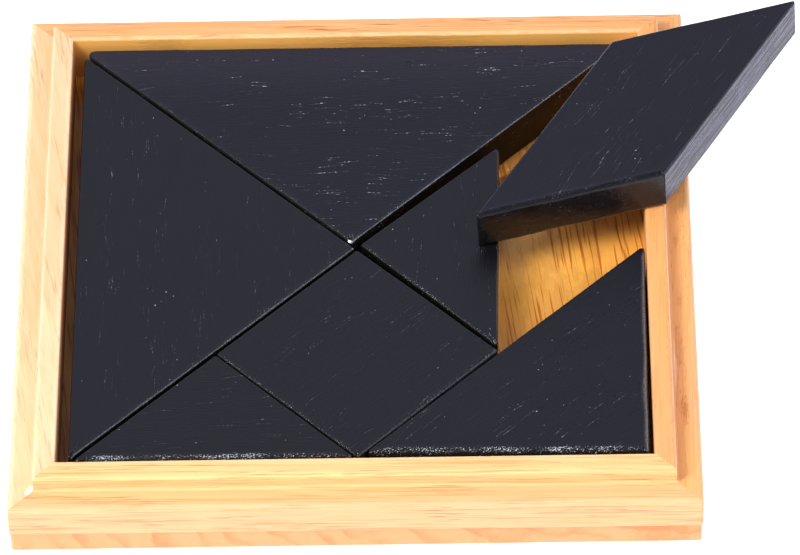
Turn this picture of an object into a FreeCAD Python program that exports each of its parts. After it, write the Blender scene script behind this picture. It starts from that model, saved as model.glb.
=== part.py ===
import FreeCAD, Part
import math
import os

from FreeCAD import Placement, Rotation, Vector

# Tangram puzzle: seven black wooden pieces in a square tray with a stepped, mitred frame.
# Millimetres. The origin is in the middle of the tray's underside, with X to the right,
# Y to the far side and Z up. One piece is lifted out and lies across the right rim.

# The pieces
square_side = 108.0       # the square that the seven pieces make together
saw_allowance = 0.12      # wood lost from every side of a piece when it was sawn and sanded
piece_thickness = 9.0
piece_corner_round = 0.3  # upright edges
piece_edge_round = 0.45   # edges round the top and the bottom face

# The tray
tray_play = 2.0           # room between the square and the frame, on each side
board_thickness = 4.8
board_inset = 0.25        # the board's sides lie this far inside the frame's
board_edge_round = 0.3    # the board's lower edges
rim_above_pieces = 1.4    # the frame's top, over the tops of the pieces
rail_width = 9.0          # from the outer side to the inner wall
ledge_width = 4.9         # the low outer step of the frame
ledge_drop = 3.6          # the step's top, under the frame's top
ledge_round = 1.0         # the ledge's outer edge
cove_radius = 0.8         # hollow at the foot of the step
rim_outer_round = 0.8
rim_inner_round = 0.45
tray_corner_round = 0.7   # the frame's upright corners

# The lifted piece
lifted_turn = -30.8       # degrees from its place in the square, seen from above
lifted_tip_right = 0.905  # its low corner, in cells to the right of the tray's middle
lifted_tip_back = -0.032  # and in cells towards the far side
rest_gap = 0.02           # air under it where it rests

cells_across = 4          # the square's grid, on which the pieces' corners lie
level_tolerance = 1e-4    # two heights closer than this are the same

# Sizes that follow
cell = square_side / cells_across
inner_half = square_side / 2 + tray_play
outer_half = inner_half + rail_width
piece_top = board_thickness + piece_thickness
rim_top = piece_top + rim_above_pieces
ledge_top = rim_top - ledge_drop

# Each piece in the tray: its corners on the square's grid of four by four cells, and how it
# has slid in the tray, as shares of the play to the right and to the back, with its turn in degrees.
pieces_in_tray = {
    "large_triangle_back": ([(0, 4), (2, 2), (4, 4)], (-0.32, 0.21, -0.1)),
    "large_triangle_left": ([(0, 0), (2, 2), (0, 4)], (0.06, -0.42, 0.0)),
    "small_triangle_front": ([(0, 0), (2, 0), (1, 1)], (0.25, -0.50, 0.0)),
    "square_piece": ([(1, 1), (2, 0), (3, 1), (2, 2)], (0.20, -0.50, 0.1)),
    "small_triangle_right": ([(2, 2), (3, 1), (3, 3)], (0.36, -0.14, -1.1)),
    "medium_triangle": ([(2, 0), (4, 0), (4, 2)], (0.77, -0.15, -0.6)),
}
lifted_corners = [(3, 1), (4, 2), (4, 4), (3, 3)]

# The rails, all cut from one moulding, and each one's quarter turn from the front.
rail_turns = {"rail_front": 0, "rail_right": 90, "rail_back": 180, "rail_left": 270}


def arc(start, middle, end):
    """Edge round a quarter circle that is given by three points."""
    return Part.Arc(Vector(*start), Vector(*middle), Vector(*end)).toShape()


def quarter(x, centre, radius, first, last):
    """Quarter circle in a plane across X, between two angles in degrees from +Y."""
    points = []
    for angle in (first, (first + last) / 2, last):
        turn = math.radians(angle)
        points.append((x, centre[0] + radius * math.cos(turn), centre[1] + radius * math.sin(turn)))
    return arc(*points)


def moulding_face(x):
    """Section of the front rail in a plane across X, with its outer side towards -Y."""
    outer = -outer_half
    step = outer + ledge_width
    inner = -inner_half
    curves = [
        quarter(x, (outer + ledge_round, ledge_top - ledge_round), ledge_round, 180, 90),
        quarter(x, (step - cove_radius, ledge_top + cove_radius), cove_radius, 270, 360),
        quarter(x, (step + rim_outer_round, rim_top - rim_outer_round), rim_outer_round, 180, 90),
        quarter(x, (inner - rim_inner_round, rim_top - rim_inner_round), rim_inner_round, 90, 0),
    ]
    last = Vector(x, outer, board_thickness)
    edges = []
    for curve in curves:
        start = curve.valueAt(curve.FirstParameter)
        edges.append(Part.makeLine(last, start))
        edges.append(curve)
        last = curve.valueAt(curve.LastParameter)
    foot = Vector(x, inner, board_thickness)
    edges.append(Part.makeLine(last, foot))
    edges.append(Part.makeLine(foot, Vector(x, outer, board_thickness)))
    return Part.Face(Part.Wire(edges))


def mitre_wedge():
    """Upright wedge with its point in the tray's middle, for the front quarter of the frame."""
    reach = 2 * outer_half
    corners = [Vector(0, 0, 0), Vector(-reach, -reach, 0), Vector(reach, -reach, 0), Vector(0, 0, 0)]
    return Part.Face(Part.makePolygon(corners)).extrude(Vector(0, 0, 2 * rim_top))


def rounded_block(half, low, high, corner_round):
    """Square block about the Z axis with rounded upright corners."""
    block = Part.makeBox(2 * half, 2 * half, high - low, Vector(-half, -half, low))
    return block.makeFillet(corner_round, upright_edges(block))


def upright_edges(shape):
    return [edge for edge in shape.Edges if abs(edge.tangentAt(edge.FirstParameter).z) > 0.999]


def edges_at(shape, height):
    """Edges that lie level at a height."""
    level = []
    for edge in shape.Edges:
        box = edge.BoundBox
        if max(abs(box.ZMin - height), abs(box.ZMax - height)) < level_tolerance:
            level.append(edge)
    return level


def front_rail():
    bar = moulding_face(-outer_half).extrude(Vector(2 * outer_half, 0, 0))
    rail = bar.common(mitre_wedge())
    return rail.common(rounded_block(outer_half, board_thickness, rim_top, tray_corner_round))


def base_board():
    board = rounded_block(outer_half - board_inset, 0, board_thickness, tray_corner_round)
    return board.makeFillet(board_edge_round, edges_at(board, 0))


def inset_outline(corners, depth):
    """Outline of a convex shape, given counterclockwise, with every side moved in by a depth."""
    count = len(corners)
    moved = []
    for index, corner in enumerate(corners):
        before = (corner - corners[index - 1]).normalize()
        after = (corners[(index + 1) % count] - corner).normalize()
        half_turn = before.getAngle(after) / 2
        towards = (after - before).normalize()
        moved.append(corner + towards * (depth / math.cos(half_turn)))
    return moved


def grid_point(place):
    """Point in the tray's plane for a corner on the square's grid."""
    middle = cells_across / 2
    return Vector((place[0] - middle) * cell, (place[1] - middle) * cell, 0)


def wooden_piece(grid_corners):
    """Piece in its home place, standing on Z = 0, with all its edges softened."""
    outline = inset_outline([grid_point(place) for place in grid_corners], saw_allowance)
    face = Part.Face(Part.makePolygon(outline + outline[:1]))
    prism = face.extrude(Vector(0, 0, piece_thickness))
    prism = prism.makeFillet(piece_corner_round, upright_edges(prism))
    return prism.makeFillet(piece_edge_round, edges_at(prism, 0) + edges_at(prism, piece_thickness))


def placed_piece(grid_corners, slid):
    """Piece on the board, slid and turned about its middle within the tray's play."""
    right, back, turn = slid
    points = [grid_point(place) for place in grid_corners]
    middle = sum(points, Vector(0, 0, 0)) * (1 / len(points))
    piece = wooden_piece(grid_corners)
    piece.rotate(middle, Vector(0, 0, 1), turn)
    piece.translate(Vector(right * tray_play, back * tray_play, board_thickness))
    return piece


def lifted_piece():
    """Parallelogram on its low corner and on the right rim.

    Its underside rests on two places: the end of its flat at the low corner, on a piece's top,
    and the inner edge of the rim. The tilt follows from their heights and their distance.
    """
    piece = wooden_piece(lifted_corners)
    home = [grid_point(place) for place in lifted_corners]
    flat = inset_outline(home, saw_allowance + piece_edge_round)
    piece.translate(flat[0] * -1)
    tip = Vector(lifted_tip_right * cell, lifted_tip_back * cell, piece_top + rest_gap)
    reach = inner_half + rim_inner_round - tip.x
    tilt = math.degrees(math.atan(rim_above_pieces / reach))
    turned = Rotation(Vector(0, 1, 0), -tilt) * Rotation(Vector(0, 0, 1), lifted_turn)
    piece.Placement = Placement(tip, turned) * piece.Placement
    return piece


def build():
    shapes = {"base_board": base_board()}
    rail = front_rail()
    for name, turn in rail_turns.items():
        shapes[name] = rail.rotated(Vector(0, 0, 0), Vector(0, 0, 1), turn)
    for name, (corners, slid) in pieces_in_tray.items():
        shapes[name] = placed_piece(corners, slid)
    shapes["parallelogram_piece"] = lifted_piece()
    return shapes


os.makedirs("parts", exist_ok=True)
for node, shape in build().items():
    shape.exportStep("parts/" + node + ".step")
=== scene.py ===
from collections import namedtuple
import math

import bmesh
import bpy
from mathutils import Matrix, Vector, geometry, noise


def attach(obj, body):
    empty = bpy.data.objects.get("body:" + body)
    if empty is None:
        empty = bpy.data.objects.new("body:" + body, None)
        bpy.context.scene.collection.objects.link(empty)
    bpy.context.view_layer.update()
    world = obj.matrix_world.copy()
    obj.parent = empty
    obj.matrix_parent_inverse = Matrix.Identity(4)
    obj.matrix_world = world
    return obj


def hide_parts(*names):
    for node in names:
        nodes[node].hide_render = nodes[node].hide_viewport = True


# Tangram puzzle: looks for a tray of pale wood with seven black wooden pieces.
# Blender works in metres. Sizes here are in millimetres where a name ends in _mm.

MM = 0.001

# The camera, as fitted to the photograph
lens_mm = 290.55
sensor_mm = 36.0
camera_azimuth = 0.88      # degrees, 0 looks along +Y
camera_elevation = 46.73   # degrees above the floor
camera_roll = -1.478       # degrees
camera_distance_mm = 1255.0
origin_right_mm = -8.40    # the tray's middle, off the middle of the picture
origin_down_mm = 3.16

# Light from the room, which has a dark part over the tray and towards the camera
room_colour = (0.82, 0.83, 1.10)
room_strength = 0.78
dark_part_rise = 70.0      # degrees above the front, to the middle of the dark part
dark_part_start = 0.62     # cosine of the angle off that middle where the dark starts
dark_part_full = 0.92      # and where it is full
dark_part_share = 0.12     # what is left of the light there

# Softboxes: place and size in millimetres, power in watts, and whether glossy faces mirror them.
# The small one casts the shadows.
softboxes = {
    "softbox_key": ((-600, -500, 850), (350, 350), 8.0, True),
    "softbox_left": ((-620, -350, 900), (450, 1300), 7.5, False),
    "softbox_right": ((620, -350, 900), (450, 1300), 7.0, False),
}

# The table top
floor_half_mm = 3000.0
floor_opening_half_mm = 63.0
floor_gap_mm = 0.05        # keeps the table top clear of the board's underside
floor_colour = (0.75, 0.75, 0.77)
floor_roughness = 0.8
floor_glow = (0.95, 0.95, 1.0)
floor_glow_strength = 0.8

# The frame, as in the CAD
rim_inner_mm = 56.0
rim_outer_mm = 60.1
ledge_outer_mm = 65.0
rim_top_mm = 15.2
ledge_top_mm = 11.6

# Bands on the frame and the board: a tone starts at the first value and is full at the second
rim_tone_mm = (rim_top_mm - 1.7, rim_top_mm - 0.3)
wall_tone_mm = (rim_inner_mm + 0.12, rim_inner_mm + 0.02)
wall_shade_mm = (rim_top_mm - 3.2, rim_top_mm - 0.6)  # painted shade at the inner wall's foot: full up to the first, gone at the second
step_inside_mm = (rim_outer_mm - 0.2, rim_outer_mm)
step_outside_mm = (rim_outer_mm + 0.6, rim_outer_mm + 0.1)
board_side_mm = (64.2, 64.5)
board_end_mm = (64.2, 64.6)
board_foot_mm = (0.6, 0.1)
wall_share = 0.85          # of the inner wall's tone, which is painted light and shade
foot_share = 0.6           # of bare wood along the board's lower edge

# Rubbed edges of a rail, paler, with painted highlights on their rounds: how far out their middle is, their
# lowest height, and half their width
rubbed_highlight_bands_mm = (
    (rim_inner_mm + 0.3, rim_top_mm - 0.6, 0.8),
    (rim_outer_mm + 0.3, rim_top_mm - 1.4, 0.7),
    (ledge_outer_mm - 0.5, ledge_top_mm - 1.0, 0.8),
)
rubbed_highlight_fade_mm = 0.3       # height over which a rubbed edge and its painted highlight begin

# The wooden pieces
top_face_rise = 0.9        # a face whose normal rises more than this faces up
shortest_side_mm = 5.0     # shorter stretches of an outline are its rounded corners
outline_step_mm = 0.45
corner_steps = 4
edge_steps = 6
edge_round_mm = 0.42
near_round_mm = 0.8        # more, on edges that face the front
front_power = 6            # high, so that only edges that face squarely to the front count
right_power = 2
right_limit = 0.3          # edges that face further back than this don't count as facing right
edge_waves = ((0.25, 7.0), (0.15, 1.3))  # unevenness of the radius: its share, over a length in mm
right_wave = (0.8, 11.0)   # takes the others' place on edges that face right
side_wear = 0.2            # wear on the sides and the lower edges
least_wear = 0.15          # share of the wear on edges that don't face the front
wear_spread = 0.2          # low, so that edges that face partly to the front wear nearly as much
top_rings = ((0.3, 0.3), (0.7, 0.0), (1.6, 0.0))  # past the round, in mm, and the wear there

# The paint
paint_black = (0.0042, 0.004)  # red and green; each piece has its own blue
side_blue = 0.003
# pale grey of dust, which in the pores also stands for a painted sheen
dust_and_sheen = (0.045, 0.045, 0.06)
# painted sheen: lavender grey on the flat sides and the edges that face right
side_sheen = (0.075, 0.075, 0.145)
edge_sheen = (0.14, 0.14, 0.155)
# pale grey of worn grit, painted as sparkles, and of the palest painted sheen
grit_and_sheen_grey = (0.42, 0.43, 0.46)
paint_fleck = (0.3, 0.32, 0.36)
# painted sparkles: near-white on pores that catch the light
spark_highlight = (0.7, 0.72, 0.78)
# a chip in the paint, painted near-white as its glint
chip_glint = (0.9, 0.88, 0.84)
chip_form = (0.7, 1.4, 1.0)    # a chip is longer to the right than to the back
dust_reach_mm = (36, 54)       # dust on a far back starts and is full this far back
dusty_side_dullness = 0.25     # roughness that the sides of a dusty piece gain
clean_side_dullness = -0.08
paint_specular = 0.36
paint_roughness = (0.30, 0.38)
pore_sheen_and_dust = 0.6                # share of pale grey in the pores: dust, and a painted sheen of their grooves
stray_pores = 0.03             # share of the pores outside their patches
flat_side = (0.85, 1.0)        # how much side a place is where the flat of a side starts, and on it
dotted_share = (0.5, 1.4)      # of the painted pale sheen on an edge, between its dots and on them
striped_share = (0.15, 1.5)    # of the painted pale sheen on a flat side, between its stripes and on them
palest_sheen = (0.8, 1.3)          # how pale the painted sheen is where it starts to turn pale grey, and where it is palest
palest_sheen_stripes = (0.3, 0.5, 0.4, 1.0)  # two values of the stripes, and the share of the palest grey at each
least_worn = 0.68              # share of the wear between its patches
grit_reach = (0.22, 0.09)      # how far wear brings out the grit, and how much more on gritty pieces
grit_edge = (0.81, 0.9)
chip_fray = 1.3                # a chip's edge starts this far out, in shares of its size

# Relief of the patterns in the paint, in shares of paint_relief_mm
paint_relief_mm = 0.2
fine_relief = 0.35
pore_relief = -1.6
grit_relief = 1.3
least_gritty = 0.8             # a piece with less grit than this has this much relief all the same
side_relief_loss = -0.8        # the sides are smoother
groove_relief = 5.0            # but saw marks stand out where the sides are painted pale
wave_height_mm = 4.0           # how far the grain under the paint sways

# Strength of the patterns in the wood
wood_relief_mm = 0.05
fibre_relief = 0.4             # in shares of the pores' depth
fibre_shade = (0.95, 1.04)     # times the colour, between the fibres and on them
wood_roughness = (0.36, 0.5)   # likewise
blotch_share = 0.5
least_band = 0.15              # share of the end grain's bands where they fade
least_highlight = 0.35               # share of a rubbed edge and its painted highlight where it is ragged

# Tones of stains and tints in the wood, and of painted light: the glint tone is a painted highlight, the
# white tone a rubbed, paler edge with a painted highlight, and the dark tone a painted shadow
brown_tone = (0.42, 0.09, 0.005)
white_tone = (0.98, 0.82, 0.65)
glint_tone = (1.0, 1.0, 1.0)
fair_tone = (0.97, 0.72, 0.42)
painted_shadow_tone = (0.22, 0.07, 0.012)
dull_tone = (0.66, 0.295, 0.048)
gold_tone = (1.0, 0.46, 0.07)
stain_tone = (0.48, 0.20, 0.04)
patch_fray = 2.4              # how far a patch's edge wanders, in shares of its size
patch_edge = (2.1, 1.4)       # the patch starts and is full at these
fray_size = 0.25               # size of the frays, in shares of the patch's
fray_detail = 3
fray_roughness = 0.7

# The dark part of a growth ring: its start, where it is full, and where it starts to end
face_ring = (0.2, 0.85, 0.88)
end_ring = (0.45, 0.9, 0.9)

# Patterns: size in millimetres along the grain, across it and up, the noise's detail and
# roughness, and the values of the noise at which the pattern starts and is full
Pattern = namedtuple("Pattern", "size detail roughness start full", defaults=(0.5, 0.3, 0.7))
ring_wander = Pattern((60, 14, 14), 3)
wood_blotch = Pattern((34, 6, 6), 2, 0.5, 0.42, 0.68)
wood_streak = Pattern((24, 0.4, 0.4), 2, 0.6, 0.5, 0.7)
wood_fibre = Pattern((6, 0.2, 0.2), 4, 0.65)
wood_pore = Pattern((7, 0.17, 0.17), 1, 0.5, 0.6, 0.7)
wood_patch = Pattern((20, 2.2, 2.2), 2, 0.5, 0.48, 0.6)
end_fading = Pattern((60, 9, 9), 1, 0.5, 0.3, 0.65)
ragged_highlight = Pattern((3, 0.5, 0.5), 3, 0.65, 0.35, 0.6)
paint_wave = Pattern((14, 9, 9), 1)
paint_pore = Pattern((7.5, 0.27, 0.27), 1, 0.5, 0.63, 0.69)
paint_patch = Pattern((18, 3, 3), 2, 0.5, 0.5, 0.6)
paint_dots = Pattern((0.45, 0.5, 0.5), 0, 0.5, 0.6, 0.68)
paint_fine = Pattern((4, 0.22, 0.22), 3, 0.6)
paint_stripes = Pattern((22, 0.9, 0.9), 2, 0.6, 0.35, 0.65)
paint_grit = Pattern((0.32, 0.26, 0.26), 2, 0.6, 0.35, 0.62)
wear_patches = Pattern((7, 7, 7), 1, 0.5, 0.35, 0.65)
paint_flecks = Pattern((0.7, 0.5, 0.5), 0, 0.5, 0.87, 0.9)
fleck_groups = Pattern((9, 9, 9), 0, 0.5, 0.4, 0.7)
paint_haze = Pattern((10, 6, 6), 3)
seed_step_mm = 37.0        # moves a pattern along the grain, so that no two pieces are alike
seed_rise_mm = 11.0        # and the unevenness of their edges

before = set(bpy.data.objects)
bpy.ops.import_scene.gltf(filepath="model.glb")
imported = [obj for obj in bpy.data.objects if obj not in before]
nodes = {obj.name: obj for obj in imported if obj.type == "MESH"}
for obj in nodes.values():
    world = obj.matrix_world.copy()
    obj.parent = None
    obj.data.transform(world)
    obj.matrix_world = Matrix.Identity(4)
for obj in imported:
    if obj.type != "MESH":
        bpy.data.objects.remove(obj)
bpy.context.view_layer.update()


def add_camera():
    """Camera at the photograph's place, with its turn about its own line of sight."""
    turn = math.radians(camera_azimuth)
    rise = math.radians(camera_elevation)
    roll = math.radians(camera_roll)
    level = Vector((math.cos(turn), math.sin(turn), 0))
    forward = Vector((-math.sin(turn) * math.cos(rise), math.cos(turn) * math.cos(rise), -math.sin(rise)))
    upright = level.cross(forward)
    right = level * math.cos(roll) + upright * math.sin(roll)
    up = upright * math.cos(roll) - level * math.sin(roll)
    place = up * origin_down_mm - right * origin_right_mm - forward * camera_distance_mm
    data = bpy.data.cameras.new("camera")
    data.lens = lens_mm
    data.sensor_width = sensor_mm
    camera = bpy.data.objects.new("camera", data)
    axes = Matrix((right, up, -forward)).transposed().to_4x4()
    camera.matrix_world = Matrix.Translation(place * MM) @ axes
    bpy.context.scene.collection.objects.link(camera)
    bpy.context.scene.camera = camera


class Shader:
    """A material's node tree. Each call adds nodes and gives back their output."""

    def __init__(self, name):
        self.material = bpy.data.materials.new(name)
        self.material.use_nodes = True
        self.tree = self.material.node_tree
        self.surface = self.tree.nodes["Principled BSDF"]

    def feed(self, socket, value):
        """Links an output to an input, or sets the input to a plain value."""
        if isinstance(value, bpy.types.NodeSocket):
            self.tree.links.new(value, socket)
        elif hasattr(value, "__len__") and len(value) == 3 and socket.type == "RGBA":
            socket.default_value = (*value, 1)
        else:
            socket.default_value = value

    def math(self, operation, *values):
        node = self.tree.nodes.new("ShaderNodeMath")
        node.operation = operation
        for socket, value in zip(node.inputs, values):
            self.feed(socket, value)
        return node.outputs[0]

    def times(self, first, *others):
        """Product of two or more values."""
        for other in others:
            first = self.math("MULTIPLY", first, other)
        return first

    def vector_math(self, operation, *values):
        node = self.tree.nodes.new("ShaderNodeVectorMath")
        node.operation = operation
        for socket, value in zip(node.inputs, values):
            self.feed(socket, value)
        return node.outputs["Value" if operation in ("DOT_PRODUCT", "LENGTH") else "Vector"]

    def place(self):
        """Point on the part, in millimetres."""
        node = self.tree.nodes.new("ShaderNodeTexCoord")
        return self.vector_math("MULTIPLY", node.outputs["Object"], (1 / MM, 1 / MM, 1 / MM))

    def split(self, vector):
        node = self.tree.nodes.new("ShaderNodeSeparateXYZ")
        self.feed(node.inputs[0], vector)
        return node.outputs

    def join(self, x, y, z):
        node = self.tree.nodes.new("ShaderNodeCombineXYZ")
        for socket, value in zip(node.inputs, (x, y, z)):
            self.feed(socket, value)
        return node.outputs[0]

    def noise(self, point, pattern):
        """Plain noise of a pattern's size, detail and roughness."""
        node = self.tree.nodes.new("ShaderNodeTexNoise")
        self.feed(node.inputs["Vector"], self.vector_math("DIVIDE", point, pattern.size))
        node.inputs["Scale"].default_value = 1
        node.inputs["Detail"].default_value = pattern.detail
        node.inputs["Roughness"].default_value = pattern.roughness
        return node.outputs["Fac"]

    def ramp(self, value, start, end, low=0.0, high=1.0):
        """Smooth step from low to high as the value goes from start to end."""
        node = self.tree.nodes.new("ShaderNodeMapRange")
        node.interpolation_type = "SMOOTHSTEP"
        for name, number in (("From Min", start), ("From Max", end), ("To Min", low), ("To Max", high)):
            node.inputs[name].default_value = number
        self.feed(node.inputs["Value"], value)
        return node.outputs["Result"]

    def pattern(self, point, pattern, low=0.0, high=1.0):
        """A pattern's noise, stepped from low where it starts to high where it is full."""
        return self.ramp(self.noise(point, pattern), pattern.start, pattern.full, low, high)

    def mix(self, factor, first, second, blend="MIX"):
        node = self.tree.nodes.new("ShaderNodeMix")
        node.data_type = "RGBA"
        node.blend_type = blend
        self.feed(node.inputs[0], factor)
        self.feed(node.inputs[6], first)
        self.feed(node.inputs[7], second)
        return node.outputs[2]

    def shaded(self, colour, value):
        """Colour times a number."""
        return self.mix(1.0, colour, self.join(value, value, value), blend="MULTIPLY")

    def toned(self, share, colour, tone):
        """A share of the colour, times a tone."""
        return self.mix(share, colour, self.mix(1.0, colour, tone, blend="MULTIPLY"))

    def bump(self, height, distance_mm):
        """Relief of a height times a distance."""
        node = self.tree.nodes.new("ShaderNodeBump")
        node.inputs["Distance"].default_value = distance_mm * MM
        self.feed(node.inputs["Height"], height)
        return node.outputs["Normal"]

    def attribute(self, name):
        node = self.tree.nodes.new("ShaderNodeAttribute")
        node.attribute_name = name
        return node.outputs["Fac"]

    def along_grain(self, along, up):
        """The point as distances along the grain, across it and up from the face."""
        point = self.place()
        along = Vector(along).normalized()
        up = Vector(up).normalized()
        axes = (along, up.cross(along), up)
        return self.join(*(self.vector_math("DOT_PRODUCT", point, tuple(axis)) for axis in axes))


def pale_wood(name, look):
    """Lacquered pale wood with growth rings about a heart line, long streaks and brown pores."""
    shader = Shader(name)
    place = shader.split(shader.along_grain(look["along"], (0, 0, 1)))
    length, across, height = place
    slanted = shader.math("MULTIPLY_ADD", length, look["slope"], across)
    moved = shader.join(shader.math("ADD", length, look["seed"] * seed_step_mm), slanted, height)
    rings = growth_rings(shader, slanted, height, moved, look)
    late = shader.times(late_wood(shader, rings, *face_ring), look["contrast"])
    colour = shader.mix(late, look["light"], look["dark"])
    colour = shader.mix(shader.pattern(moved, wood_blotch, high=blotch_share), colour, look["blush"])
    colour = stained_and_lit(shader, colour, place, moved, look.get("tints", ()))
    colour = streaked(shader, colour, across, moved, look)
    if "end_light" in look:
        colour = end_grain(shader, colour, length, height, rings, moved, look)
    pores = shader.times(shader.pattern(moved, look.get("pore_pattern", wood_pore)),
                         shader.pattern(moved, wood_patch))
    colour = shader.mix(shader.times(pores, look["pores"]), colour, look["pore"])
    fibre = shader.noise(moved, wood_fibre)
    colour = shader.shaded(colour, shader.ramp(fibre, wood_fibre.start, wood_fibre.full, *fibre_shade))
    if "outward" in look:
        out = shader.vector_math("DOT_PRODUCT", shader.place(), look["outward"])
        colour = rail_painted_light(shader, colour, out, height, look)
        colour = rubbed_edge_highlights(shader, colour, out, height, moved, look)
    colour = stained_and_lit(shader, colour, place, moved, look.get("marks", ()))
    shader.feed(shader.surface.inputs["Base Color"], colour)
    roughness = shader.ramp(fibre, wood_fibre.start, wood_fibre.full, *wood_roughness)
    shader.feed(shader.surface.inputs["Roughness"], roughness)
    relief = shader.math("SUBTRACT", shader.times(fibre, fibre_relief), pores)
    shader.feed(shader.surface.inputs["Normal"], shader.bump(relief, wood_relief_mm))
    return shader.material


def growth_rings(shader, slanted, height, moved, look):
    """How far each point is through its growth ring, from 0 to 1."""
    wander = shader.math("SUBTRACT", shader.noise(moved, ring_wander), 0.5)
    off_across = shader.math("SUBTRACT", slanted, look["heart"][0])
    off_up = shader.math("SUBTRACT", height, look["heart"][1])
    radius = shader.vector_math("LENGTH", shader.join(0.0, off_across, off_up))
    rings = shader.math("MULTIPLY_ADD", wander, look["wander"], radius)
    return shader.math("FRACT", shader.math("DIVIDE", rings, look["ring"]))


def late_wood(shader, rings, start, full, ending):
    """The dark part of each growth ring."""
    return shader.times(shader.ramp(rings, start, full), shader.ramp(rings, 1.0, ending))


def streaked(shader, colour, across, moved, look):
    """Long dark streaks, fainter on the sides where the look says so."""
    streak = shader.pattern(moved, look.get("streak_pattern", wood_streak), high=look["streaks"])
    if "side_streaks" in look:
        side = shader.ramp(shader.math("ABSOLUTE", across), *board_side_mm, 1.0, look["side_streaks"])
        streak = shader.times(streak, side)
    return shader.mix(streak, colour, look["streak"])


def end_grain(shader, colour, length, height, rings, moved, look):
    """The board's ends: growth rings in bands, which fade here and there, and a bare lower edge."""
    end = shader.ramp(shader.math("ABSOLUTE", length), *board_end_mm)
    fading = shader.pattern(moved, end_fading, low=least_band)
    band = shader.times(late_wood(shader, rings, *end_ring), fading)
    colour = shader.mix(end, colour, shader.mix(band, look["end_light"], look["end_dark"]))
    return shader.mix(shader.ramp(height, *board_foot_mm, 0.0, foot_share), colour, look["bare"])


def stained_and_lit(shader, colour, place, moved, tone_patches):
    """Frayed patches of tone, tints, stains and marks of painted light and shade: each one's middle and size
    along and across the grain, its strength and its tone.
    """
    for middle, size, strength, tone in tone_patches:
        along = shader.math("DIVIDE", shader.math("SUBTRACT", place[0], middle[0]), size[0])
        across = shader.math("DIVIDE", shader.math("SUBTRACT", place[1], middle[1]), size[1])
        off = shader.vector_math("LENGTH", shader.join(along, across, 0.0))
        fray_along, fray_across = size[0] * fray_size, size[1] * fray_size
        fray = Pattern((fray_along, fray_across, fray_across), fray_detail, fray_roughness)
        off = shader.math("MULTIPLY_ADD", shader.noise(moved, fray), patch_fray, off)
        colour = shader.mix(shader.ramp(off, *patch_edge, 0.0, strength), colour, tone)
    return colour


def rail_painted_light(shader, colour, out, height, look):
    """Painted light and shade on a rail: a tone over its rim, the inner wall's tone, darker towards its foot,
    and, where the look says so, a lighter step.
    """
    # painted light: a tone over the rim's top, apart from the rest of the rail
    colour = shader.toned(shader.ramp(height, *rim_tone_mm), colour, look["rim_painted_light"])
    # painted light and shade: the inner wall's colour, set lighter or darker for the light it gets, and
    # darker towards its foot
    wall = shader.shaded(look["wall"], shader.ramp(height, *wall_shade_mm, look.get("wall_foot", 1.0), 1.0))
    colour = shader.mix(shader.ramp(out, *wall_tone_mm, 0.0, wall_share), colour, wall)
    # painted light: the step's wall faces the front and is painted lighter
    if "step_painted_light" in look:
        step = shader.times(shader.ramp(out, *step_inside_mm), shader.ramp(out, *step_outside_mm))
        colour = shader.toned(step, colour, look["step_painted_light"])
    return colour


def rubbed_edge_highlights(shader, colour, out, height, moved, look):
    """Paler wood where a rail's edges are rubbed, which also holds the painted highlights on their rounds."""
    ragged = shader.pattern(moved, ragged_highlight, low=least_highlight)
    for (middle, lowest, width), strength in zip(rubbed_highlight_bands_mm, look["rubbed"]):
        off = shader.math("ABSOLUTE", shader.math("SUBTRACT", out, middle))
        risen = shader.ramp(height, lowest, lowest + rubbed_highlight_fade_mm)
        band = shader.times(shader.ramp(off, width, width / 2), risen, ragged, strength)
        colour = shader.mix(band, colour, look["rubbed_highlight_colour"])
    return colour


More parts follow.
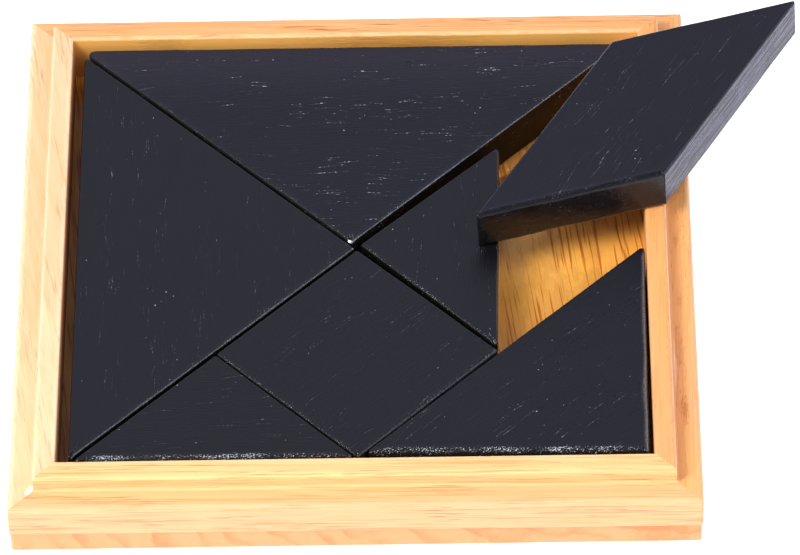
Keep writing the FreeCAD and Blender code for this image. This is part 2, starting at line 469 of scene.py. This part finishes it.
def black_paint(name, up, seed, look):
    """Satin black paint over open-grained wood: wavy pores with dust, painted sheen and painted sparkles, a
    few flecks, gritty rubbed edges with painted sparkles, a painted sheen on what faces right, and chips
    painted near-white as glints.
    """
    shader = Shader(name)
    length, across, height = shader.split(shader.along_grain(look["along"], up))
    shifted = shader.math("ADD", length, seed * seed_step_mm)
    moved = shader.join(shifted, across, height)
    wave = shader.noise(moved, paint_wave)
    wavy = shader.join(shifted, shader.math("MULTIPLY_ADD", wave, wave_height_mm, across), height)
    side = shader.attribute("side")
    pale = shader.attribute("pale")
    grit = shader.noise(moved, paint_grit)
    stripes = shader.noise(wavy, paint_stripes)
    pores = shader.times(shader.pattern(wavy, paint_pore), shader.pattern(wavy, paint_patch, low=stray_pores))
    wear = shader.times(shader.attribute("wear"), shader.pattern(moved, wear_patches, low=least_worn))
    colour = shader.mix(side, (*paint_black, look["blue"]), (*paint_black, side_blue))
    colour = dusted_and_sheened(shader, colour, pores, look)
    # painted sparkles: pores that catch the light, painted near-white
    sparks = shader.times(shader.pattern(moved, paint_dots), pores, look["sparks"])
    colour = shader.mix(sparks, colour, spark_highlight)
    colour = painted_right_sheen(shader, colour, side, pale, grit, stripes)
    colour = gritty_sparkling_edges(shader, colour, wear, grit, look["gritty"])
    flecks = shader.times(shader.pattern(moved, paint_flecks), shader.pattern(moved, fleck_groups))
    colour = shader.mix(flecks, colour, paint_fleck)
    colour = glinting_chips(shader, colour, grit, look.get("chips", ()))
    shader.feed(shader.surface.inputs["Base Color"], colour)
    shader.surface.inputs["Specular IOR Level"].default_value = paint_specular
    dullness = dusty_side_dullness if "dust" in look else clean_side_dullness
    haze = shader.pattern(moved, paint_haze, *paint_roughness)
    shader.feed(shader.surface.inputs["Roughness"], shader.math("MULTIPLY_ADD", side, dullness, haze))
    sunk = shader.times(pores, pore_relief * look["grain"])
    relief = shader.math("MULTIPLY_ADD", shader.noise(wavy, paint_fine), fine_relief, sunk)
    grains = grit_relief * max(look["gritty"], least_gritty)
    relief = shader.math("MULTIPLY_ADD", shader.times(wear, grit), grains, relief)
    relief = shader.times(relief, shader.math("MULTIPLY_ADD", side, side_relief_loss, 1.0))
    relief = shader.math("ADD", relief, shader.times(pale, side, stripes, groove_relief))
    shader.feed(shader.surface.inputs["Normal"], shader.bump(relief, paint_relief_mm))
    return shader.material


def dusted_and_sheened(shader, colour, pores, look):
    """Dust in the pores, which also stands for a painted sheen of their grooves, and, where the look says so,
    dust on the far part of the piece.
    """
    colour = shader.mix(shader.times(pores, pore_sheen_and_dust * look["grain"]), colour, dust_and_sheen)
    back = shader.split(shader.place())[1]
    return shader.mix(shader.ramp(back, *dust_reach_mm, 0.0, look.get("dust", 0.0)), colour, dust_and_sheen)


def painted_right_sheen(shader, colour, side, pale, grit, stripes):
    """Painted sheen on what faces right: dotted on an edge, striped on a flat side, and pale grey where it is
    palest.
    """
    flat = shader.ramp(side, *flat_side)
    dotted = shader.ramp(grit, paint_grit.start, paint_grit.full, *dotted_share)
    striped = shader.ramp(stripes, paint_stripes.start, paint_stripes.full, *striped_share)
    share = shader.math("MULTIPLY_ADD", flat, shader.math("SUBTRACT", striped, dotted), dotted)
    colour = shader.mix(shader.times(pale, share), colour, shader.mix(flat, edge_sheen, side_sheen))
    # the palest of the painted sheen turns pale grey
    bare = shader.times(shader.ramp(pale, *palest_sheen), shader.ramp(stripes, *palest_sheen_stripes))
    return shader.mix(bare, colour, grit_and_sheen_grey)


def gritty_sparkling_edges(shader, colour, wear, grit, gritty):
    """Grains of bare wood and dust where the edges are worn, painted pale grey as sparkles of light."""
    reach = grit_reach[0] + grit_reach[1] * gritty
    rubbed = shader.ramp(shader.math("MULTIPLY_ADD", wear, reach, grit), *grit_edge)
    return shader.mix(shader.times(rubbed, min(gritty, 1.0)), colour, grit_and_sheen_grey)


def glinting_chips(shader, colour, grit, chips):
    """Chips out of the paint, each with its place and its size, painted near-white as a glint."""
    for spot, size_mm in chips:
        off = shader.vector_math("SUBTRACT", shader.place(), spot)
        off = shader.vector_math("LENGTH", shader.vector_math("MULTIPLY", off, chip_form))
        off = shader.math("MULTIPLY_ADD", grit, size_mm, off)
        colour = shader.mix(shader.ramp(off, chip_fray * size_mm, size_mm), colour, chip_glint)
    return colour


def flat_frame(mesh):
    """Axes of a flat piece, as rows: two in its top face, and that face's normal."""
    top = max((face for face in mesh.polygons if face.normal.z > top_face_rise), key=lambda face: face.area)
    up = top.normal.normalized()
    side = Vector((0, 1, 0)).cross(up).normalized()
    return Matrix((side, up.cross(side), up))


def outline_corners(points):
    """Sharp corners of a flat piece's outline, counterclockwise, from points on its surface."""
    hull = [points[index] for index in geometry.convex_hull_2d(points)]
    if sum(a.cross(b) for a, b in zip(hull, hull[1:] + hull[:1])) < 0:
        hull.reverse()
    sides = [(a, b) for a, b in zip(hull, hull[1:] + hull[:1]) if (b - a).length > shortest_side_mm]
    corners = []
    for index, (start, end) in enumerate(sides):
        before = sides[index - 1]
        corners.append(geometry.intersect_line_line_2d(*stretched_line(*before), *stretched_line(start, end)))
    return corners


def stretched_line(start, end):
    """The same line, longer at both ends."""
    return start * 2 - end, end * 2 - start


def inset_corners(corners, depth):
    """Corners of the outline with every side moved in."""
    moved = []
    for index, corner in enumerate(corners):
        before = (corner - corners[index - 1]).normalized()
        after = (corners[(index + 1) % len(corners)] - corner).normalized()
        half = before.angle(after) / 2
        moved.append(corner + (after - before).normalized() * depth / math.cos(half))
    return moved


def along_side(corners, side, share):
    """Point on a side of the outline, at a share of its length."""
    return corners[side].lerp(corners[(side + 1) % len(corners)], share)


def outline_samples(corners):
    """Places round the outline: (side, share along it, direction outwards), with arcs at corners."""
    count = len(corners)
    samples = []
    for side in range(count):
        start = corners[side]
        along = corners[(side + 1) % count] - start
        outward = Vector((along.y, -along.x)).normalized()
        steps = round(along.length / outline_step_mm)
        samples += [(side, step / steps, outward) for step in range(steps + 1)]
        after = corners[(side + 2) % count] - corners[(side + 1) % count]
        turn = Vector((along.y, -along.x)).angle_signed(Vector((after.y, -after.x)))
        for step in range(1, corner_steps):
            bent = outward.copy()
            bent.rotate(Matrix.Rotation(-turn * step / corner_steps, 2))
            samples.append((side, 1.0, bent))
    return samples


def front_and_right(direction):
    """How far a direction faces the front and the right, both from 0 to 1."""
    front = max(0.0, -direction.y) ** front_power
    right = max(0.0, direction.x) ** right_power if direction.y < right_limit else 0.0
    return front, right


def edge_radius(place, front, right, right_round_mm):
    """Radius of a piece's edge at a place, uneven as on worn wood."""
    uneven = sum(share * noise.noise(place / length) for share, length in edge_waves)
    share, length = right_wave
    uneven += right * (share * noise.noise(place / length) - share * uneven)
    radius = edge_round_mm + near_round_mm * front + (right_round_mm - edge_round_mm) * right
    return radius * (1 + uneven)


# A ring of vertices round a piece. Its height and inset are plain millimetres, and the rise and
# the tuck are added to them as shares of the edge's radius at each place. The rest is for the paint.
Ring = namedtuple("Ring", "height rise inset tuck wear pale side")


def edge_rings(low, high, side_pale, edge_pale):
    """Rings from the bottom face, round both edges, into the top face."""
    angles = [math.radians(90 * step / edge_steps) for step in range(edge_steps + 1)]
    rings = [Ring(low, 1 - math.cos(angle), 0, 1 - math.sin(angle), side_wear, side_pale, 1)
             for angle in angles]
    for angle in angles:
        wear = side_wear + (1 - side_wear) * math.sin(angle)
        pale = side_pale * math.cos(angle) ** 4 + edge_pale * math.sin(2 * angle) ** 4
        rings.append(Ring(high, math.sin(angle) - 1, 0, 1 - math.cos(angle), wear, pale, math.cos(angle)))
    rings += [Ring(high, 0, inset, 1, wear, 0, 0) for inset, wear in top_rings]
    return rings


def skin(mesh, loops):
    """Smooth faces between loops of vertices, and one over each end."""
    for lower, upper in zip(loops, loops[1:]):
        for index in range(len(lower)):
            after = (index + 1) % len(lower)
            mesh.faces.new((lower[index], lower[after], upper[after], upper[index]))
    mesh.faces.new(loops[-1])
    mesh.faces.new(loops[0][::-1])
    for face in mesh.faces:
        face.smooth = True


def worn_edges(corners, samples, world, seed, right_round_mm):
    """For each place round the outline: its edge's radius, and how far it faces the front and right."""
    edges = []
    for side, share, outward in samples:
        front, right = front_and_right(world @ Vector((*outward, 0)))
        place = Vector((*along_side(corners, side, share), seed * seed_rise_mm))
        edges.append((edge_radius(place, front, right, right_round_mm), front, right))
    return edges


def add_loops(mesh, rings, corners, samples, edges, world, corner_mm):
    """Adds each ring's vertices, with the amounts of wear, of pale painted sheen and of side that the paint
    reads.
    """
    wear_layer = mesh.verts.layers.float.new("wear")
    pale_layer = mesh.verts.layers.float.new("pale")
    side_layer = mesh.verts.layers.float.new("side")
    loops = []
    for ring in rings:
        loop = []
        for (side, share, outward), (radius, front, right) in zip(samples, edges):
            core = inset_corners(corners, radius * ring.tuck + ring.inset + corner_mm)
            spot = along_side(core, side, share) + outward * corner_mm
            vertex = mesh.verts.new(world @ Vector((*spot, ring.height + radius * ring.rise)) * MM)
            vertex[wear_layer] = ring.wear * (least_wear + (1 - least_wear) * front ** wear_spread)
            vertex[pale_layer] = ring.pale * right
            vertex[side_layer] = ring.side
            loop.append(vertex)
        loops.append(loop)
    return loops


def worn_piece(node, seed, look):
    """Stand-in for a flat CAD piece: the same outline and thickness, with edges rounded by hand."""
    source = nodes[node].data
    axes = flat_frame(source)
    world = axes.transposed()
    local = [axes @ vertex.co / MM for vertex in source.vertices]
    low = min(point.z for point in local)
    high = max(point.z for point in local)
    corners = outline_corners([point.xy for point in local])
    samples = outline_samples(corners)
    edges = worn_edges(corners, samples, world, seed, look["right_round_mm"])
    rings = edge_rings(low, high, look["side_pale"], look["edge_pale"])
    mesh = bmesh.new()
    skin(mesh, add_loops(mesh, rings, corners, samples, edges, world, look["corner_mm"]))
    data = bpy.data.meshes.new(node + "_worn")
    mesh.to_mesh(data)
    mesh.free()
    piece = bpy.data.objects.new(node + "_worn", data)
    bpy.context.scene.collection.objects.link(piece)
    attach(piece, "root")
    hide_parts(node)
    return piece


def dress(node, material):
    """Gives a CAD object its better material."""
    nodes[node].material_slots[0].link = "OBJECT"
    nodes[node].material_slots[0].material = material


def add_floor():
    """Lit white table top. It is open right under the tray, so that the underside can be seen."""
    ring = ((-1, -1), (1, -1), (1, 1), (-1, 1))
    spots = [(x * half_mm * MM, y * half_mm * MM, -floor_gap_mm * MM)
             for half_mm in (floor_half_mm, floor_opening_half_mm) for x, y in ring]
    faces = [(side, (side + 1) % 4, (side + 1) % 4 + 4, side + 4) for side in range(4)]
    mesh = bpy.data.meshes.new("floor")
    mesh.from_pydata(spots, [], faces)
    floor = bpy.data.objects.new("floor", mesh)
    bpy.context.scene.collection.objects.link(floor)
    shader = Shader("white_table")
    shader.surface.inputs["Base Color"].default_value = (*floor_colour, 1)
    shader.surface.inputs["Roughness"].default_value = floor_roughness
    shader.surface.inputs["Emission Color"].default_value = (*floor_glow, 1)
    shader.surface.inputs["Emission Strength"].default_value = floor_glow_strength
    mesh.materials.append(shader.material)


def add_softbox(name, place_mm, size_mm, power, mirrored):
    """Softbox that faces the tray. One that isn't mirrored lights without showing in glossy faces."""
    data = bpy.data.lights.new(name, "AREA")
    data.shape = "RECTANGLE"
    data.size = size_mm[0] * MM
    data.size_y = size_mm[1] * MM
    data.energy = power
    light = bpy.data.objects.new(name, data)
    place = Vector(place_mm) * MM
    light.matrix_world = Matrix.Translation(place) @ place.to_track_quat("Z", "Y").to_matrix().to_4x4()
    light.visible_glossy = mirrored
    bpy.context.scene.collection.objects.link(light)


def add_world():
    """Bluish light from the room, with its dark part."""
    world = bpy.data.worlds.new("studio")
    world.use_nodes = True
    tree = world.node_tree
    background = tree.nodes["Background"]
    background.inputs["Color"].default_value = (*room_colour, 1)
    direction = tree.nodes.new("ShaderNodeTexCoord").outputs["Generated"]
    rise = math.radians(dark_part_rise)
    towards = tree.nodes.new("ShaderNodeVectorMath")
    towards.operation = "DOT_PRODUCT"
    towards.inputs[1].default_value = (0, -math.cos(rise), math.sin(rise))
    shade = tree.nodes.new("ShaderNodeMapRange")
    shade.interpolation_type = "SMOOTHSTEP"
    shade.inputs["From Min"].default_value = dark_part_start
    shade.inputs["From Max"].default_value = dark_part_full
    shade.inputs["To Min"].default_value = room_strength
    shade.inputs["To Max"].default_value = room_strength * dark_part_share
    tree.links.new(direction, towards.inputs[0])
    tree.links.new(towards.outputs["Value"], shade.inputs["Value"])
    tree.links.new(shade.outputs["Result"], background.inputs["Strength"])
    bpy.context.scene.world = world


add_camera()
add_floor()
add_world()
for name, box in softboxes.items():
    add_softbox(name, *box)
bpy.context.scene.view_settings.view_transform = "Standard"

along_x = (1, 0, 0)
along_y = (0, 1, 0)

# Colours of each kind of wood in the tray. The wall colour holds the inner wall's painted light and shade,
# and the rubbed colour is that of the rubbed edges with their painted highlights.
front_wood = {"light": (0.82, 0.445, 0.2), "dark": (0.80, 0.37, 0.13), "blush": (0.80, 0.41, 0.192),
              "streak": (0.68, 0.28, 0.09), "pore": (0.42, 0.16, 0.06),
              "rubbed_highlight_colour": (0.88, 0.57, 0.32), "wall": (0.80, 0.42, 0.14)}
left_wood = {"light": (0.84, 0.52, 0.28), "dark": (0.81, 0.42, 0.17), "blush": (0.82, 0.48, 0.24),
             "streak": (0.74, 0.36, 0.14), "pore": (0.48, 0.19, 0.06),
             "rubbed_highlight_colour": (0.93, 0.76, 0.55), "wall": (0.62, 0.24, 0.09)}
back_wood = {"light": (0.80, 0.395, 0.153), "dark": (0.74, 0.305, 0.082), "blush": (0.78, 0.355, 0.118),
             "streak": (0.60, 0.23, 0.06), "pore": (0.26, 0.08, 0.02),
             "rubbed_highlight_colour": (0.90, 0.54, 0.25), "wall": (1.0, 0.5, 0.105)}
right_wood = {"light": (0.82, 0.40, 0.128), "dark": (0.79, 0.35, 0.107), "blush": (0.78, 0.36, 0.16),
              "streak": (0.66, 0.25, 0.08), "pore": (0.46, 0.13, 0.03),
              "rubbed_highlight_colour": (0.90, 0.66, 0.48), "wall": (0.80, 0.36, 0.12)}
board_wood = {"light": (0.90, 0.43, 0.08), "dark": (0.66, 0.26, 0.04), "blush": (0.84, 0.40, 0.11),
              "streak": (0.50, 0.12, 0.01), "pore": (0.36, 0.09, 0.015),
              "end_light": (0.82, 0.338, 0.127), "end_dark": (0.77, 0.24, 0.068), "bare": (0.72, 0.46, 0.24)}

# How each piece of the tray is cut from its wood. The heart is the middle of the growth rings, across
# and up. The rings' width and wander are in millimetres too, and the slope is how far the grain drifts
# across for each millimetre along. Contrast, streaks, pores and rubbed, with one for each of a rail's
# three bands, are strengths; the rubbed edges also hold painted highlights, and the rim and step tones
# are painted light. Tints lie under the streaks and marks over everything: each has its middle and its
# size, along and across, its strength and its tone. Some marks are painted light: a glint, a highlight
# and a shadow.
wood_looks = {
    "rail_front": {**front_wood, "along": along_x, "outward": (0, -1, 0), "seed": 7,
                   "heart": (-160, -60), "ring": 1.7, "slope": 0.01, "wander": 7.0, "contrast": 0.4,
                   "streaks": 0.9, "streak_pattern": Pattern((30, 0.28, 0.28), 2, 0.6, 0.53, 0.64),
                   "pores": 0.8, "rubbed": (0.4, 0.15, 0.25), "rim_painted_light": (1.05, 1.15, 1.05),
                   "step_painted_light": (1.05, 1.25, 1.2)},
    "rail_left": {**left_wood, "along": along_y, "outward": (-1, 0, 0), "seed": 2,
                  "heart": (40, -8), "ring": 2.0, "slope": -0.16, "wander": 5.0, "contrast": 0.35,
                  "streaks": 0.35, "pores": 0.7, "rubbed": (0.2, 0.4, 0.3), "rim_painted_light": (1.0, 1.0, 1.02),
                  # the first mark is a painted highlight: a white glint at the step's foot by the front mitre
                  "marks": (((-60.4, 60.6), (1.7, 1.2), 1.0, glint_tone),
                            ((-52, 60), (50, 14), 0.25, fair_tone))},
    "rail_back": {**back_wood, "along": along_x, "outward": (0, 1, 0), "seed": 3,
                  "heart": (160, -60), "ring": 2.2, "slope": 0.02, "wander": 5.0, "contrast": 0.6,
                  "streaks": 0.7, "pores": 1.0, "rubbed": (0.8, 0.3, 0.2), "rim_painted_light": (1.0, 1.0, 1.0),
                  "wall_foot": 0.85,
                  "marks": (((8, 55.8), (30, 0.5), 0.6, stain_tone),
                            ((-38, 55.8), (7, 0.5), 0.4, stain_tone))},
    "rail_right": {**right_wood, "along": along_y, "outward": (1, 0, 0), "seed": 4,
                   "heart": (-40, -60), "ring": 3.0, "slope": 0.03, "wander": 5.0, "contrast": 0.5,
                   "streaks": 0.6, "pores": 0.45, "pore_pattern": wood_pore._replace(size=(1.8, 0.2, 0.2)),
                   "rubbed": (0.05, 0.6, 0.1), "rim_painted_light": (0.98, 0.96, 0.9),
                   "marks": (((-42, -62.3), (5, 1.2), 0.5, brown_tone),
                             ((2, -61.8), (2.2, 0.8), 0.25, brown_tone),
                             ((-14, -62), (3, 0.9), 0.25, brown_tone),
                             ((-26, -61.6), (9, 1.2), 0.2, brown_tone),
                             # the white mark is a rubbed, paler stretch of the rim's outer edge with a
                             # painted highlight
                             ((-30, -60.7), (9, 0.35), 0.5, white_tone))},
    "base_board": {**board_wood, "along": along_y, "seed": 5,
                   "heart": (-60, 90), "ring": 5.5, "slope": -0.12, "wander": 15.0, "contrast": 0.65,
                   "streaks": 0.9, "streak_pattern": Pattern((20, 0.7, 0.7), 2, 0.6, 0.53, 0.63),
                   "side_streaks": 0.25, "pores": 0.3,
                   "tints": (((-8, -38), (24, 14), 0.6, dull_tone), ((8, -50), (16, 16), 0.6, gold_tone)),
                   # the first mark is a painted shadow: a dark patch on the board by the lifted piece
                   "marks": (((31, -35), (14, 12), 0.6, painted_shadow_tone),
                             ((-64.7, -57), (3, 7), 0.45, stain_tone),
                             ((-64.7, -30), (3, 8), 0.3, stain_tone))},
}
for node, look in wood_looks.items():
    dress(node, pale_wood(node, look))

# How each wooden piece is painted and worn: its grain's direction, its paint's blue, how strongly the
# pores show and how many catch the light, how gritty its edges are, with painted sparkles, the radius of
# its upright corners, and, for what faces right, the edges' radius and how pale the sides and the edges
# are in a painted sheen. Dust is its share on the far part, and a chip in the paint, painted near-white
# as a glint, has its place and its size.
piece_looks = {
    "large_triangle_back": {"along": (1, 0.02, 0), "blue": 0.0078, "grain": 1.3, "sparks": 0.55,
                            "gritty": 0.6, "corner_mm": 1.0, "right_round_mm": 0.4, "side_pale": 0,
                            "edge_pale": 2.2, "dust": 0.15, "chips": (((-1.05, 1.15, 13.6), 0.75),)},
    "large_triangle_left": {"along": along_y, "blue": 0.0058, "grain": 0.35, "sparks": 0.1, "gritty": 0.5,
                            "corner_mm": 0.5, "right_round_mm": 0.4, "side_pale": 0, "edge_pale": 1.4},
    "small_triangle_front": {"along": (1, 0.05, 0), "blue": 0.005, "grain": 0.6, "sparks": 0.15,
                             "gritty": 1.0, "corner_mm": 0.5, "right_round_mm": 0.4, "side_pale": 0,
                             "edge_pale": 0.4},
    "square_piece": {"along": (1, 1, 0), "blue": 0.005, "grain": 0.4, "sparks": 0.1, "gritty": 0.8,
                     "corner_mm": 0.5, "right_round_mm": 0.7, "side_pale": 0.3, "edge_pale": 0.5},
    "small_triangle_right": {"along": along_y, "blue": 0.005, "grain": 0.35, "sparks": 0.1, "gritty": 1.1,
                             "corner_mm": 0.5, "right_round_mm": 0.4, "side_pale": 0, "edge_pale": 0.3},
    "medium_triangle": {"along": (1, 1, 0), "blue": 0.006, "grain": 0.9, "sparks": 0.15, "gritty": 1.3,
                        "corner_mm": 0.6, "right_round_mm": 1.2, "side_pale": 0.1, "edge_pale": 1.0},
    "parallelogram_piece": {"along": (0.512, 0.859, 0), "blue": 0.0076, "grain": 0.6, "sparks": 0.1,
                            "gritty": 0.15, "corner_mm": 0.345, "right_round_mm": 0.6, "side_pale": 0.6,
                            "edge_pale": 0.1},
}
for seed, (node, look) in enumerate(piece_looks.items(), 1):
    piece = worn_piece(node, seed, look)
    up = flat_frame(nodes[node].data)[2]
    piece.data.materials.append(black_paint(node + "_paint", up, seed, look))
